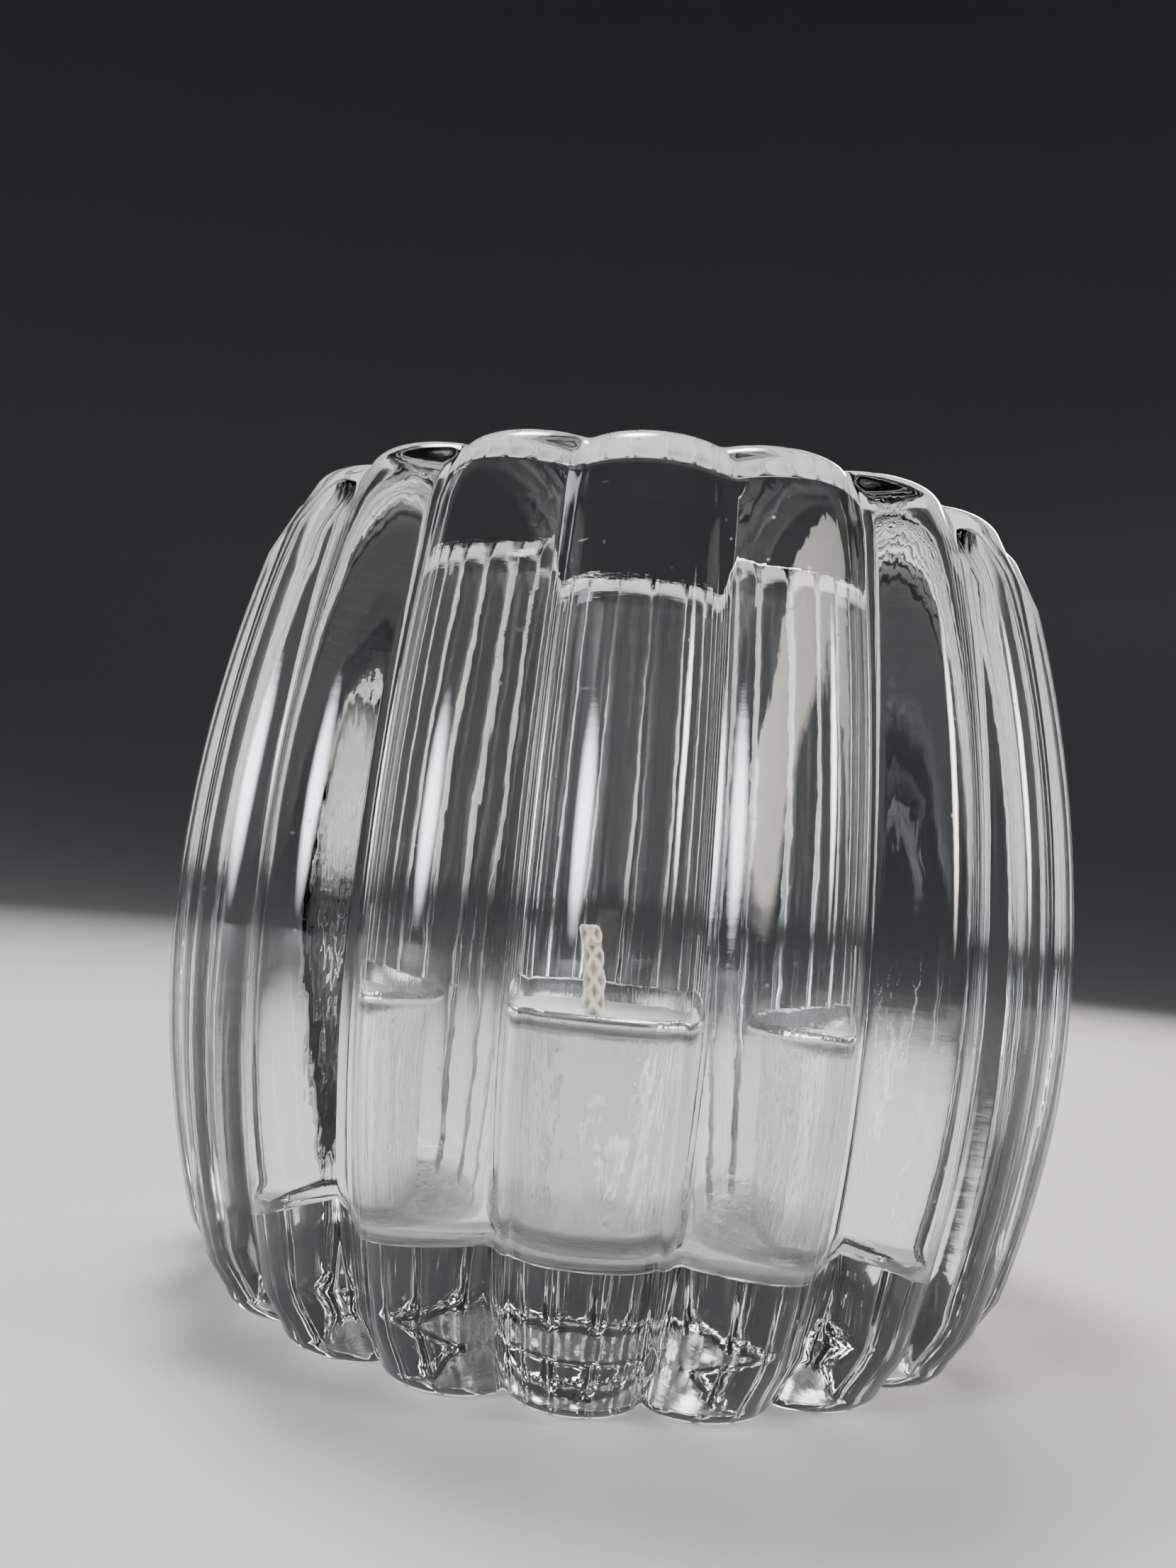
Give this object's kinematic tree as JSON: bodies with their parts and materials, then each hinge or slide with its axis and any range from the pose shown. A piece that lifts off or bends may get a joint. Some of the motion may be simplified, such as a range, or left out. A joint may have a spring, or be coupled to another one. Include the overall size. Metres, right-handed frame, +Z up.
{
  "type": "tealight holder",
  "caption": "Barrel-shaped ribbed clear glass tealight holder with a round bore, a thick solid base and a lift-out tealight in an aluminium cup.",
  "frame": {"origin": "middle of the flat underside of the glass", "axes": "+Z up along the axis of the glass; rib crests on +X, +Y, -X and -Y"},
  "size_m": [0.07, 0.07, 0.0592],
  "materials": {
    "holder_glass": "fire-polished clear pressed glass",
    "tealight_cup": "bright drawn foil with fine drawing lines",
    "tealight_wax": "cast white wax, slightly translucent",
    "wick_sustainer": "plated pressed steel",
    "wick": "waxed braided cotton"
  },
  "bodies": {
    "holder": {"holder_glass": "holder_glass"},
    "tealight": {"tealight_cup": "tealight_cup", "tealight_wax": "tealight_wax", "wick_sustainer": "wick_sustainer", "wick": "wick"}
  },
  "joints": [
    {"name": "tealight_lift", "type": "slide", "parent": "holder", "child": "tealight", "axis": [0, 0, 1], "range_m": [0, 0.06]}
  ]
}
